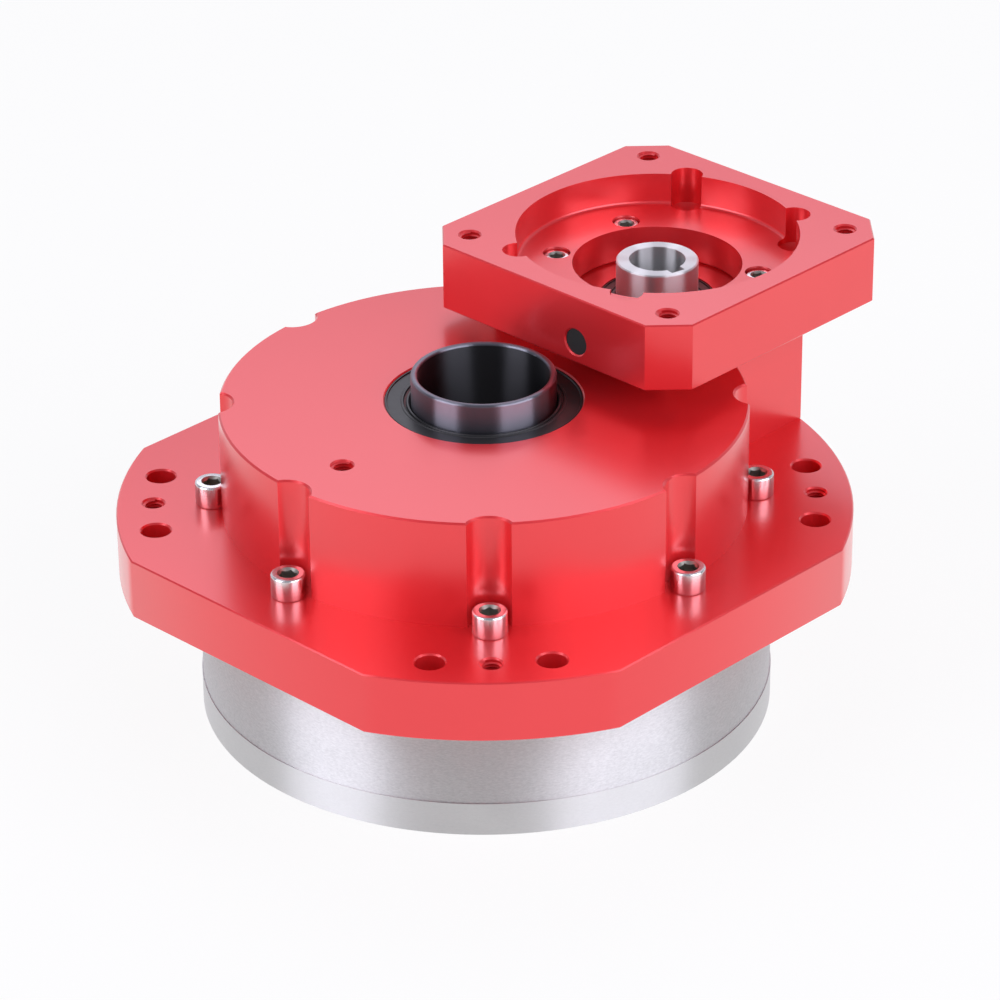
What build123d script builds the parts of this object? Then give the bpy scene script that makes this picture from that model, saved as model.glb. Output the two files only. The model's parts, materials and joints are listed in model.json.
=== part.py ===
from build123d import *
from math import acos, atan2, cos, degrees, pi, radians, sin, tan
import os

os.makedirs("parts", exist_ok=True)

# Hollow-shaft pin wheel reducer with an offset servo motor input.
# The origin is on the main axis, in the plane of the case's end face. +Z points
# up to the motor side and +X to the motor's axis. All sizes are in millimetres.

# Outer heights
case_height = 58.0
flange_thickness = 24.0
deck_height = 42.5
column_height = 51.5
adapter_thickness = 27.0
tube_stand = 10.5
sleeve_stand = 15.5

# Levels of the outer faces
flange_bottom = case_height
flange_top = flange_bottom + flange_thickness
deck_top = flange_top + deck_height
column_top = flange_top + column_height
adapter_top = column_top + adapter_thickness
tube_top = deck_top + tube_stand
sleeve_top = column_top + sleeve_stand

# Clearances
running_gap = 0.05
seat_gap = 0.2
side_gap = 0.6

# Red housing: flange, drum and motor column in one piece
flange_radius = 140.0
flat_setback = 14.0
flange_flat = flange_radius - flat_setback
drum_radius = 100.0
drum_chamfer = 0.7
column_width = 88.5
column_inner_end = 52.0
edge_chamfer = 0.5
hole_chamfer = 0.6
relief_width = 1.0
relief_depth = 0.5
fixing_edge = 14.0
fixing_circle = 2 * (flange_radius - fixing_edge)
fixing_hole = 11.0
fixing_spread = 10.0
jack_hole = 8.0
scallop_radius = 9.0
screw_step = 45.0
grease_hole = 8.0
grease_hole_depth = 11.0
grease_hole_reach = 74.6
deck_thickness = 12.5
tube_passage = 10.0
cavity_gap = 1.0

# Motor adapter
input_axis = 97.0
adapter_side = 130.0
adapter_corner = 12.6
pilot_diameter = 110.0
pilot_depth = 13.0
pilot_root = 1.6
adapter_bore = 66.0
adapter_bore_chamfer = 1.0
motor_circle = 145.0
motor_hole = 8.0
adapter_screw_circle = 80.0
adapter_screw_angles = (60.0, 120.0, 240.0, 300.0)
notch_radius = 6.3
notch_reach = 55.9
notch_angles = (30.0, 150.0, 210.0, 330.0)
notch_sink = 2.0
access_hole = 10.5
access_side = -17.2
access_height = 8.5
access_chamfer = 0.5
plug_length = 8.0
plug_sink = 0.8

# Screws
m8_shank = 8.0
m8_head = 13.0
m8_key = 6.0
m8_length = 40.0
m8_clearance_hole = 9.0
m6_shank = 6.0
m6_head = 10.0
m6_key = 5.0
m6_length = 20.0
m6_clearance_hole = 6.6
m6_counterbore = 10.8
head_sink = 1.0
head_chamfer = 0.5
tapped_extra = 3.0

# Pin wheel: the ring pins and the two cycloid discs
pin_count = 40
pin_circle = 172.0
pin_diameter = 8.0
eccentricity = 1.5
profile_gap = 0.08
disc_thickness = 12.0
disc_spacing = 0.6
disc_bore = 62.0
valley_part = 0.08
flank_part = 0.24

# Case
case_diameter = 220.0
housing_screw_edge = 6.5
housing_screw_circle = case_diameter - 2 * housing_screw_edge
case_relief = 0.4
band_height = 13.2
spigot_diameter = 196.0
spigot_height = 6.0

# Main bearings and the seal at the output
main_bore = 150.0
main_section = 20.0
main_outer = main_bore + 2 * main_section
main_width = 14.0
main_race = 6.5
cage_gap = 1.6
cage_setback = 2.0
main_seal_width = 8.0
main_seal_section = 15.0
main_seal_inner = main_outer - 2 * main_seal_section
output_setback = 1.0

# Carrier: output flange, pillars and hold flange
output_land = 9.0
output_bolt_circle = 130.0
output_bolt_count = 12
output_bolt_hole = 8.0
output_bolt_depth = 12.0
output_pilot = 70.0
output_pilot_depth = 4.0
pillar_inner = 43.0
pillar_outer = 68.0
pillar_angle = 46.0
pillar_corner = 4.0
pillar_turns = (0.0, 120.0, 240.0)
hold_rim = 153.6
hold_rim_height = 3.2
hub_bolt_circle = 108.0
hub_bolt_spread = 11.5
hub_bolt_length = 28.0
hub_counterbore = 14.0
dowel_diameter = 8.0
dowel_length = 24.0
dowel_circle = 124.0

# Crankshafts
crank_circle = 108.0
crank_angles = (60.0, 180.0, 300.0)
eccentric_diameter = 28.0
needle_size = 4.0
journal_diameter = 20.0
crank_bearing_outer = 32.0
crank_bearing_width = 7.0
crank_relief = 24.0
crank_relief_depth = 2.0
crank_end_gap = 0.5
crank_seat_land = 1.5
crank_gear_stand = 4.0
crank_end = 1.0
gear_seat_diameter = 18.0
clip_thickness = 1.2
clip_depth = 0.8
clip_rim = 2.6
clip_opening = 40.0
groove_margin = 1.0

# Gear train
gear_module = 2.0
pressure_angle = 20.0
root_depth = 1.25
backlash = 0.16
crank_gear_teeth = 18
sun_teeth = 36
large_gear_teeth = 76
pinion_teeth = 21
crank_gear_width = 10.0
sun_width = 12.0
large_gear_width = 12.0
pinion_width = 20.0
sun_bore = 60.0
sun_neck = 67.0
gear_bearing_outer = 72.0
sun_wall = 5.0
sun_sleeve = gear_bearing_outer + 2 * sun_wall
sun_collar = 88.0
sun_collar_height = 3.2
sun_crank_gap = 1.0
hub_stand = 5.0
large_gear_stand = 5.0
hub_rim = 3.0
web_thickness = 6.0
rim_inner = 132.0
hub_outer = 94.0
lightening_circle = 113.0
lightening_hole = 15.0
lightening_count = 8
lightening_turn = 22.5
gear_key_width = 8.0
gear_key_height = 4.0

# Centre tube and its bearings and seal
tube_outer = 55.0
tube_inner = 50.0
tube_lip = 1.0
gear_bearing_width = 9.0
gear_bearing_spacing = 1.0
centre_seal_outer = 75.0
centre_seal_width = 8.0
centre_seal_sink = 0.3
lip_rise = 1.0
shield_share = 0.06

# Input shaft with its bearings, seal and cover
sleeve_outer = 32.0
sleeve_bore = 22.0
sleeve_bore_depth = 47.0
key_width = 6.0
key_reach = 13.8
key_angle = -102.0
bearing_shoulder = 37.0
lower_journal = 15.0
lower_shoulder = 20.0
lower_shoulder_height = 2.0
lower_bearing_outer = 32.0
lower_bearing_width = 9.0
upper_bearing_outer = 58.0
upper_bearing_width = 13.0
input_seal_outer = 45.0
input_seal_width = 8.0
cover_diameter = 70.0
cover_bore = 38.0
cover_web = 0.5

# Levels inside, from the output end upwards
output_face = output_setback
main_seal_bottom = output_face
lower_bearing_bottom = output_face + output_land
lower_bearing_top = lower_bearing_bottom + main_width
disc_a_bottom = lower_bearing_top + side_gap
disc_b_bottom = disc_a_bottom + disc_thickness + disc_spacing
upper_bearing_bottom = disc_b_bottom + disc_thickness + side_gap
upper_bearing_top = upper_bearing_bottom + main_width
hold_top = upper_bearing_top + hold_rim_height
spigot_top = case_height + spigot_height
crank_gear_bottom = hold_top + crank_gear_stand
crank_gear_top = crank_gear_bottom + crank_gear_width
sun_bottom = crank_gear_bottom - (sun_width - crank_gear_width) / 2
sun_top = sun_bottom + sun_width
crank_top = crank_gear_top + clip_thickness + crank_end
hub_bottom = crank_top + hub_stand
large_gear_bottom = hub_bottom + large_gear_stand
large_gear_top = large_gear_bottom + large_gear_width
gear_bearings_top = hub_bottom + 2 * gear_bearing_width + gear_bearing_spacing
hub_top = gear_bearings_top + hub_rim
chamber_top = deck_top - deck_thickness
hub_bolt_seat = hold_top - m8_shank - head_sink
crank_lower_seat = lower_bearing_top - crank_bearing_width - 2 * seat_gap
crank_upper_seat = upper_bearing_bottom + crank_seat_land
crank_bottom = crank_lower_seat - crank_end_gap
crank_middle = (disc_a_bottom + disc_b_bottom + disc_thickness) / 2
eccentric_bottom = disc_a_bottom - side_gap / 2
eccentric_top = disc_b_bottom + disc_thickness + side_gap / 2
tube_bottom = output_face + output_pilot_depth
centre_seal_bottom = deck_top - centre_seal_sink - centre_seal_width
input_seal_bottom = column_top - seat_gap - input_seal_width
pinion_bottom = large_gear_bottom - (pinion_width - large_gear_width) / 2
pinion_top = pinion_bottom + pinion_width
cover_bottom = input_seal_bottom - cover_web
upper_input_bottom = cover_bottom - upper_bearing_width
lower_input_top = pinion_bottom - lower_shoulder_height
lower_input_bottom = lower_input_top - lower_bearing_width

# Radii that several pieces share
cavity_radius = gear_module * (large_gear_teeth + 2) / 2 + cavity_gap
screw_angles = [screw_step * step for step in range(1, 8)]


def polar(radius, angle):
    """Point at a radius and an angle in degrees."""
    return (radius * cos(radians(angle)), radius * sin(radians(angle)))


def circle_points(diameter, angles, centre=(0.0, 0.0)):
    """Points on a pitch circle at the given angles."""
    spots = [polar(diameter / 2, angle) for angle in angles]
    return [(centre[0] + x, centre[1] + y) for x, y in spots]


def add_disc(level, height, diameter, centre=(0.0, 0.0)):
    """Adds a round boss that stands on a level."""
    with BuildSketch(Plane.XY.offset(level)) as outline:
        with Locations(centre):
            Circle(diameter / 2)
    extrude(outline.sketch, amount=height)


def cut_disc(level, height, diameter, points=((0.0, 0.0),)):
    """Cuts round holes of one diameter upwards from a level."""
    with BuildSketch(Plane.XY.offset(level)) as outline:
        with Locations(*points):
            Circle(diameter / 2)
    extrude(outline.sketch, amount=height, mode=Mode.SUBTRACT)


def cut_mouth(level, diameter, chamfer_size, points=((0.0, 0.0),), up=True):
    """Chamfers the mouths of holes in a flat face at a level."""
    way = 1 if up else -1
    plane = Plane(origin=(0, 0, level - way * chamfer_size), x_dir=(1, 0, 0), z_dir=(0, 0, way))
    with BuildSketch(plane) as outline:
        with Locations(*[(x, way * y) for x, y in points]):
            Circle(diameter / 2)
    extrude(outline.sketch, amount=chamfer_size, taper=-45, mode=Mode.SUBTRACT)


def add_ring(level, height, inner, outer, centre=(0.0, 0.0)):
    """Adds a flat ring that stands on a level."""
    with BuildSketch(Plane.XY.offset(level)) as outline:
        with Locations(centre):
            Circle(outer / 2)
            Circle(inner / 2, mode=Mode.SUBTRACT)
    extrude(outline.sketch, amount=height)


def cut_ring(level, height, inner, outer, centre=(0.0, 0.0)):
    """Cuts a round groove upwards from a level."""
    with BuildSketch(Plane.XY.offset(level)) as outline:
        with Locations(centre):
            Circle(outer / 2)
            Circle(inner / 2, mode=Mode.SUBTRACT)
    extrude(outline.sketch, amount=height, mode=Mode.SUBTRACT)


def add_clip(level, inner, outer, centre=(0.0, 0.0)):
    """Adds an open retaining ring."""
    with BuildSketch(Plane.XY.offset(level)) as outline:
        with Locations(centre):
            Circle(outer / 2)
            Circle(inner / 2, mode=Mode.SUBTRACT)
        with Locations((centre[0] - outer / 2, centre[1])):
            Rectangle(outer / 2, outer * sin(radians(clip_opening / 2)), mode=Mode.SUBTRACT)
    extrude(outline.sketch, amount=clip_thickness)


def add_bearing(level, width, bore, outer, centre=(0.0, 0.0)):
    """Adds a closed ball bearing, with its shield set in between the two rings."""
    wall = (outer - bore) / 2
    shield_sink = shield_share * wall
    add_ring(level, width, bore, outer, centre)
    cut_ring(level + width - shield_sink, shield_sink, bore + wall / 2, outer - wall / 2, centre)


def add_socket_screws(points, seat, shank, head, key, length):
    """Adds socket head cap screws that seat on a level and point down."""
    with BuildSketch(Plane.XY.offset(seat)) as heads:
        with Locations(*points):
            Circle(head / 2)
    extrude(heads.sketch, amount=shank)
    chamfer(edges().group_by(Axis.Z)[-1], head_chamfer)
    with BuildSketch(Plane.XY.offset(seat + shank)) as sockets:
        with Locations(*points):
            RegularPolygon(key / 2, 6, major_radius=False)
    extrude(sockets.sketch, amount=-shank / 2, mode=Mode.SUBTRACT)
    with BuildSketch(Plane.XY.offset(seat)) as shanks:
        with Locations(*points):
            Circle(shank / 2 - running_gap)
    extrude(shanks.sketch, amount=-length)


def add_lip_seal(bottom, width, inner, outer, centre=(0.0, 0.0), faces_down=False):
    """Adds a rotary shaft seal: shell, web on its outer side and lip towards the shaft."""
    wall = (outer - inner) / 2
    shell = wall / 5
    web = width / 4
    lip_outer = inner / 2 + wall / 3
    facing = 1 if faces_down else -1
    start = bottom + width if faces_down else bottom
    plane = Plane(origin=(centre[0], centre[1], start), x_dir=(1, 0, 0), z_dir=(0, facing, 0))
    with BuildSketch(plane) as section:
        with BuildLine():
            Polyline(
                (outer / 2, 0.0),
                (outer / 2, width),
                (inner / 2 + lip_rise, width),
                (inner / 2 + running_gap, width - web / 2),
                (inner / 2 + lip_rise, width / 2),
                (inner / 2 + running_gap, width / 4),
                (lip_outer, width / 5),
                (lip_outer, width - web),
                (outer / 2 - shell, width - web),
                (outer / 2 - shell, 0.0),
                close=True,
            )
        make_face()
    revolve(section.sketch, axis=Axis((centre[0], centre[1], 0), (0, 0, 1)))


def spur_gear_outline(teeth, phase=0.0):
    """Outline of a spur gear with a tooth's middle at the phase angle."""
    pitch = gear_module * teeth / 2
    base = pitch * cos(radians(pressure_angle))
    tip = pitch + gear_module
    root = pitch - root_depth * gear_module
    start = max(base, root)
    middle = (start + tip) / 2

    def half_width(radius):
        slope = acos(base / radius)
        rise = tan(radians(pressure_angle)) - radians(pressure_angle) - tan(slope) + slope
        return degrees(pi / (2 * teeth) + rise - backlash / (4 * pitch))

    step = 360.0 / teeth
    with BuildLine() as outline:
        for tooth in range(teeth):
            axis = phase + tooth * step
            following = axis + step
            flank = [polar(r, axis - half_width(r)) for r in (start, middle, tip)]
            other = [polar(r, axis + half_width(r)) for r in (tip, middle, start)]
            ThreePointArc(*flank)
            Line(flank[-1], other[0])
            ThreePointArc(*other)
            floor_edge = (axis + half_width(start), following - half_width(start))
            next_start = polar(start, floor_edge[1])
            if root < start:
                floor = [polar(root, angle) for angle in floor_edge]
                Polyline(other[-1], floor[0], floor[1], next_start)
            else:
                Line(other[-1], next_start)
    return outline.edges()


def cycloid_point(angle):
    """Point of the cycloid disc's outline, for the curve's angle in radians."""
    radius = pin_circle / 2
    roller = pin_diameter / 2 + profile_gap
    lobes = pin_count - 1
    lead = radius / (eccentricity * pin_count)
    turn = atan2(sin(-lobes * angle), lead - cos(-lobes * angle))
    x = radius * cos(angle) - roller * cos(angle + turn) - eccentricity * cos(pin_count * angle)
    y = -radius * sin(angle) + roller * sin(angle + turn) + eccentricity * sin(pin_count * angle)
    return (x, y)


def cycloid_outline(side):
    """Outline of a cycloid disc in arcs. Side is 1, or -1 for the same disc half a turn on."""
    lobes = pin_count - 1
    arcs = ((-valley_part, valley_part), (valley_part, flank_part))
    arcs += ((flank_part, 1 - flank_part), (1 - flank_part, 1 - valley_part))
    with BuildLine() as outline:
        for lobe in range(lobes):
            for first, last in arcs:
                parts = (first, (first + last) / 2, last)
                spots = [cycloid_point(2 * pi / lobes * (lobe + part)) for part in parts]
                ThreePointArc(*[(side * x, side * y) for x, y in spots])
    return outline.edges()


def pillar_outline(angle, growth=0.0, level=0.0):
    """Outline of a carrier pillar, or of the disc's window that is larger all round."""
    spread = pillar_angle / 2
    corners = [
        polar(pillar_inner, angle - spread),
        polar(pillar_inner, angle),
        polar(pillar_inner, angle + spread),
        polar(pillar_outer, angle + spread),
        polar(pillar_outer, angle),
        polar(pillar_outer, angle - spread),
    ]
    with BuildSketch(Plane.XY.offset(level)) as outline:
        with BuildLine():
            ThreePointArc(*corners[0:3])
            Line(corners[2], corners[3])
            ThreePointArc(*corners[3:6])
            Line(corners[5], corners[0])
        make_face()
        fillet(outline.vertices(), pillar_corner)
        if growth:
            offset(amount=growth, kind=Kind.ARC)
    return outline.sketch


# Red housing
fixing_angles = [45.0 + 90.0 * corner + way * fixing_spread for corner in range(4) for way in (-1, 1)]
jack_angles = [45.0 + 90.0 * corner for corner in range(4)]
fixing_points = circle_points(fixing_circle, fixing_angles)
jack_points = circle_points(fixing_circle, jack_angles)
screw_points = circle_points(housing_screw_circle, screw_angles)
input_centre = (input_axis, 0.0)
adapter_screw_points = circle_points(adapter_screw_circle, adapter_screw_angles, input_centre)
motor_points = circle_points(motor_circle, jack_angles, input_centre)
notch_points = circle_points(2 * notch_reach, notch_angles, input_centre)
pilot_floor = adapter_top - pilot_depth
m6_seat = pilot_floor - m6_shank - head_sink
m6_tap_depth = m6_length - (m6_seat - column_top) + tapped_extra
m8_tap_depth = m8_length - flange_thickness + tapped_extra
cage_inner = main_bore + 2 * main_race + cage_gap
cage_outer = main_outer - 2 * main_race - cage_gap
bearing_clip_bottom = crank_upper_seat + crank_bearing_width
access_plane = Plane(
    origin=(input_axis - adapter_side / 2, access_side, column_top + access_height),
    x_dir=(0, -1, 0),
    z_dir=(-1, 0, 0),
)

with BuildPart() as main_housing:
    with BuildSketch(Plane.XY.offset(flange_bottom)):
        Circle(flange_radius)
        with Locations(((flange_radius - flange_flat) / 2, 0)):
            Rectangle(flange_radius + flange_flat, 2 * flange_flat, mode=Mode.INTERSECT)
    extrude(amount=flange_thickness)
    chamfer(main_housing.faces().sort_by(Axis.Z)[-1].edges(), edge_chamfer)
    chamfer(main_housing.faces().sort_by(Axis.Z)[0].edges(), edge_chamfer)
    with BuildSketch(Plane.XY.offset(flange_top)):
        Circle(drum_radius)
        with Locations(*screw_points):
            Circle(scallop_radius, mode=Mode.SUBTRACT)
    extrude(amount=deck_height)
    chamfer(main_housing.faces().sort_by(Axis.Z)[-1].edges(), drum_chamfer)
    with BuildSketch(Plane.XY.offset(flange_top)):
        Circle(flange_radius)
        with Locations(((flange_radius + column_inner_end) / 2, 0)):
            Rectangle(flange_radius - column_inner_end, column_width, mode=Mode.INTERSECT)
    extrude(amount=column_height)
    # Case spigot, relief beside it, gear chamber and the well of the input shaft
    cut_disc(flange_bottom, spigot_height + seat_gap, spigot_diameter + 2 * running_gap)
    relief_inner = case_diameter + 2 * relief_width
    cut_ring(flange_bottom, relief_depth, relief_inner, relief_inner + 2 * relief_width)
    cut_disc(flange_bottom, chamber_top - flange_bottom, 2 * cavity_radius)
    cut_disc(lower_input_top, cover_bottom - lower_input_top, upper_bearing_outer, [input_centre])
    cut_disc(cover_bottom, column_top - cover_bottom, cover_diameter, [input_centre])
    cut_disc(lower_input_bottom, lower_bearing_width, lower_bearing_outer, [input_centre])
    cut_disc(lower_input_bottom - side_gap, side_gap, lower_shoulder, [input_centre])
    # Seat of the centre seal and the way for the tube
    cut_disc(chamber_top, deck_thickness, tube_outer + tube_passage)
    cut_disc(centre_seal_bottom, deck_top - centre_seal_bottom, centre_seal_outer)
    cut_mouth(deck_top, centre_seal_outer, edge_chamfer)
    # Fixing holes, jacking threads, screw holes, grease port and adapter threads
    cut_disc(flange_bottom, flange_thickness, fixing_hole, fixing_points)
    cut_mouth(flange_top, fixing_hole, hole_chamfer, fixing_points)
    cut_disc(flange_bottom, flange_thickness, jack_hole, jack_points)
    cut_mouth(flange_top, jack_hole, hole_chamfer, jack_points)
    cut_disc(flange_bottom, flange_thickness, m8_clearance_hole, screw_points)
    cut_disc(deck_top - grease_hole_depth, grease_hole_depth, grease_hole, [(-grease_hole_reach, 0)])
    cut_mouth(deck_top, grease_hole, hole_chamfer, [(-grease_hole_reach, 0)])
    cut_disc(column_top - m6_tap_depth, m6_tap_depth, m6_shank, adapter_screw_points)
main_housing.part.label = "main_housing"
export_step(main_housing.part, "parts/main_housing.step")

# Motor adapter plate
with BuildPart() as motor_adapter:
    with BuildSketch(Plane.XY.offset(column_top)):
        with Locations(input_centre):
            Rectangle(adapter_side, adapter_side)
    extrude(amount=adapter_thickness)
    chamfer(motor_adapter.edges().filter_by(Axis.Z), adapter_corner)
    chamfer(motor_adapter.faces().sort_by(Axis.Z)[-1].edges(), edge_chamfer)
    chamfer(motor_adapter.faces().sort_by(Axis.Z)[0].edges(), edge_chamfer)
    cut_disc(pilot_floor, pilot_depth, pilot_diameter, [input_centre])
    floor_edges = motor_adapter.edges().filter_by(GeomType.CIRCLE).filter_by_position(
        Axis.Z, pilot_floor - running_gap, pilot_floor + running_gap
    )
    fillet(floor_edges, pilot_root)
    cut_disc(pilot_floor - notch_sink, pilot_depth + notch_sink, 2 * notch_radius, notch_points)
    cut_disc(column_top, adapter_thickness, adapter_bore, [input_centre])
    cut_mouth(column_top, adapter_bore, adapter_bore_chamfer, [input_centre], up=False)
    cut_disc(column_top, adapter_thickness, motor_hole, motor_points)
    cut_mouth(adapter_top, motor_hole, hole_chamfer, motor_points)
    cut_disc(column_top, adapter_thickness, m6_clearance_hole, adapter_screw_points)
    cut_disc(m6_seat, pilot_floor - m6_seat, m6_counterbore, adapter_screw_points)
    with BuildSketch(access_plane) as access:
        Circle(access_hole / 2)
    extrude(access.sketch, amount=-adapter_side / 2, mode=Mode.SUBTRACT)
    with BuildSketch(access_plane.offset(-access_chamfer)) as access_mouth:
        Circle(access_hole / 2)
    extrude(access_mouth.sketch, amount=access_chamfer, taper=-45, mode=Mode.SUBTRACT)
motor_adapter.part.label = "motor_adapter"
export_step(motor_adapter.part, "parts/motor_adapter.step")

with BuildPart() as access_plug:
    with BuildSketch(access_plane.offset(-plug_sink)):
        Circle(access_hole / 2)
    extrude(amount=-plug_length)
access_plug.part.label = "access_plug"
export_step(access_plug.part, "parts/access_plug.step")

with BuildPart() as adapter_screws:
    add_socket_screws(adapter_screw_points, m6_seat, m6_shank, m6_head, m6_key, m6_length)
adapter_screws.part.label = "adapter_screws"
export_step(adapter_screws.part, "parts/adapter_screws.step")

with BuildPart() as housing_screws:
    add_socket_screws(screw_points, flange_top, m8_shank, m8_head, m8_key, m8_length)
housing_screws.part.label = "housing_screws"
export_step(housing_screws.part, "parts/housing_screws.step")

# Case with the grooves that hold the ring pins
pin_angles = [360.0 / pin_count * pin for pin in range(pin_count)]
case_screw_angles = [screw_step * step for step in range(8)]
land_bottom = lower_bearing_top
land_top = upper_bearing_bottom

with BuildPart() as pin_case:
    add_disc(0, case_height, case_diameter - 2 * case_relief)
    add_disc(0, band_height, case_diameter)
    add_disc(case_height, spigot_height, spigot_diameter)
    cut_disc(0, land_bottom, main_outer)
    cut_disc(land_bottom, land_top - land_bottom, pin_circle)
    cut_disc(land_top, spigot_top - land_top, main_outer)
    groove_points = circle_points(pin_circle, pin_angles)
    cut_disc(land_bottom, land_top - land_bottom, pin_diameter + 2 * running_gap, groove_points)
    case_tap_points = circle_points(housing_screw_circle, case_screw_angles)
    cut_disc(case_height - m8_tap_depth, m8_tap_depth, m8_shank, case_tap_points)
pin_case.part.label = "pin_case"
export_step(pin_case.part, "parts/pin_case.step")

with BuildPart() as ring_pins:
    with BuildSketch(Plane.XY.offset(land_bottom + seat_gap)):
        with Locations(*groove_points):
            Circle(pin_diameter / 2)
    extrude(amount=land_top - land_bottom - 2 * seat_gap)
ring_pins.part.label = "ring_pins"
export_step(ring_pins.part, "parts/ring_pins.step")

# Main bearings, whose outer rings sit in the case and inner rings on the carrier
with BuildPart() as lower_outer_ring:
    add_ring(lower_bearing_bottom, main_width, main_outer - 2 * main_race, main_outer)
lower_outer_ring.part.label = "lower_outer_ring"
export_step(lower_outer_ring.part, "parts/lower_outer_ring.step")

with BuildPart() as lower_inner_ring:
    add_ring(lower_bearing_bottom, main_width, main_bore, main_bore + 2 * main_race)
lower_inner_ring.part.label = "lower_inner_ring"
export_step(lower_inner_ring.part, "parts/lower_inner_ring.step")

with BuildPart() as upper_outer_ring:
    add_ring(upper_bearing_bottom, main_width, main_outer - 2 * main_race, main_outer)
upper_outer_ring.part.label = "upper_outer_ring"
export_step(upper_outer_ring.part, "parts/upper_outer_ring.step")

with BuildPart() as upper_inner_ring:
    add_ring(upper_bearing_bottom, main_width, main_bore, main_bore + 2 * main_race)
upper_inner_ring.part.label = "upper_inner_ring"
export_step(upper_inner_ring.part, "parts/upper_inner_ring.step")

with BuildPart() as main_ball_cages:
    for level in (lower_bearing_bottom, upper_bearing_bottom):
        add_ring(level + cage_setback, main_width - 2 * cage_setback, cage_inner, cage_outer)
main_ball_cages.part.label = "main_ball_cages"
export_step(main_ball_cages.part, "parts/main_ball_cages.step")

with BuildPart() as main_seal:
    add_lip_seal(main_seal_bottom, main_seal_width, main_seal_inner, main_outer, faces_down=True)
main_seal.part.label = "main_seal"
export_step(main_seal.part, "parts/main_seal.step")

# Output flange with the pillars of the carrier
crank_points = circle_points(crank_circle, crank_angles)
output_bolt_angles = [360.0 / output_bolt_count * (bolt + 0.5) for bolt in range(output_bolt_count)]
hub_bolt_angles = [turn + way * hub_bolt_spread for turn in pillar_turns for way in (-1, 1)]
hub_bolt_points = circle_points(hub_bolt_circle, hub_bolt_angles)
dowel_points = circle_points(dowel_circle, pillar_turns)
dowel_bottom = upper_bearing_bottom - dowel_length / 2

with BuildPart() as output_flange:
    add_disc(output_face, output_land, main_seal_inner)
    add_disc(lower_bearing_bottom, main_width, main_bore)
    for turn in pillar_turns:
        extrude(pillar_outline(turn, level=lower_bearing_top), amount=land_top - lower_bearing_top)
    cut_disc(output_face, land_top, tube_outer)
    cut_disc(output_face, output_pilot_depth, output_pilot)
    cut_mouth(output_face, output_pilot, edge_chamfer, up=False)
    cut_disc(crank_lower_seat, lower_bearing_top - crank_lower_seat, crank_bearing_outer, crank_points)
    cut_disc(crank_lower_seat - crank_relief_depth, crank_relief_depth, crank_relief, crank_points)
    output_bolt_points = circle_points(output_bolt_circle, output_bolt_angles)
    cut_disc(output_face, output_bolt_depth, output_bolt_hole, output_bolt_points)
    cut_mouth(output_face, output_bolt_hole, hole_chamfer, output_bolt_points, up=False)
    hub_tap_bottom = hub_bolt_seat - hub_bolt_length - tapped_extra
    cut_disc(hub_tap_bottom, land_top - hub_tap_bottom, m8_shank, hub_bolt_points)
    cut_disc(dowel_bottom, land_top - dowel_bottom, dowel_diameter, dowel_points)
output_flange.part.label = "output_flange"
export_step(output_flange.part, "parts/output_flange.step")

with BuildPart() as hold_flange:
    add_disc(upper_bearing_bottom, main_width, main_bore)
    add_disc(upper_bearing_top, hold_rim_height, hold_rim)
    hold_height = hold_top - upper_bearing_bottom
    cut_disc(upper_bearing_bottom, hold_height, tube_outer)
    cut_disc(upper_bearing_bottom, hold_height, crank_bearing_outer, crank_points)
    cut_disc(bearing_clip_bottom, clip_thickness, crank_bearing_outer + 2 * clip_depth, crank_points)
    cut_disc(upper_bearing_bottom, hold_height, m8_clearance_hole, hub_bolt_points)
    cut_disc(hub_bolt_seat, hold_top - hub_bolt_seat, hub_counterbore, hub_bolt_points)
    cut_disc(upper_bearing_bottom, dowel_length / 2, dowel_diameter, dowel_points)
hold_flange.part.label = "hold_flange"
export_step(hold_flange.part, "parts/hold_flange.step")

with BuildPart() as hub_bolts:
    add_socket_screws(hub_bolt_points, hub_bolt_seat, m8_shank, m8_head, m8_key, hub_bolt_length)
hub_bolts.part.label = "hub_bolts"
export_step(hub_bolts.part, "parts/hub_bolts.step")

with BuildPart() as dowel_pins:
    for point in dowel_points:
        add_disc(dowel_bottom, dowel_length, dowel_diameter, point)
dowel_pins.part.label = "dowel_pins"
export_step(dowel_pins.part, "parts/dowel_pins.step")

# Crank bearings, held in the two flanges
with BuildPart() as crank_bearings:
    for point in crank_points:
        for level in (crank_lower_seat + seat_gap, crank_upper_seat):
            bore = journal_diameter + 2 * running_gap
            add_bearing(level, crank_bearing_width, bore, crank_bearing_outer, point)
crank_bearings.part.label = "crank_bearings"
export_step(crank_bearings.part, "parts/crank_bearings.step")

with BuildPart() as crank_bearing_clips:
    for point in crank_points:
        clip_outer = crank_bearing_outer + 2 * clip_depth
        add_clip(bearing_clip_bottom, clip_outer - 2 * clip_rim, clip_outer, point)
crank_bearing_clips.part.label = "crank_bearing_clips"
export_step(crank_bearing_clips.part, "parts/crank_bearing_clips.step")

# Cycloid discs, half a turn apart
window_growth = eccentricity + side_gap
disc_crank_hole = eccentric_diameter + 2 * needle_size

with BuildPart() as cycloid_disc_a:
    with BuildSketch(Plane(origin=(eccentricity, 0, disc_a_bottom))) as outline_a:
        make_face(cycloid_outline(1))
        Circle(disc_bore / 2, mode=Mode.SUBTRACT)
        with Locations(*crank_points):
            Circle(disc_crank_hole / 2, mode=Mode.SUBTRACT)
        for turn in pillar_turns:
            add(pillar_outline(turn, window_growth), mode=Mode.SUBTRACT)
    extrude(amount=disc_thickness)
cycloid_disc_a.part.label = "cycloid_disc_a"
export_step(cycloid_disc_a.part, "parts/cycloid_disc_a.step")

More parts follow.
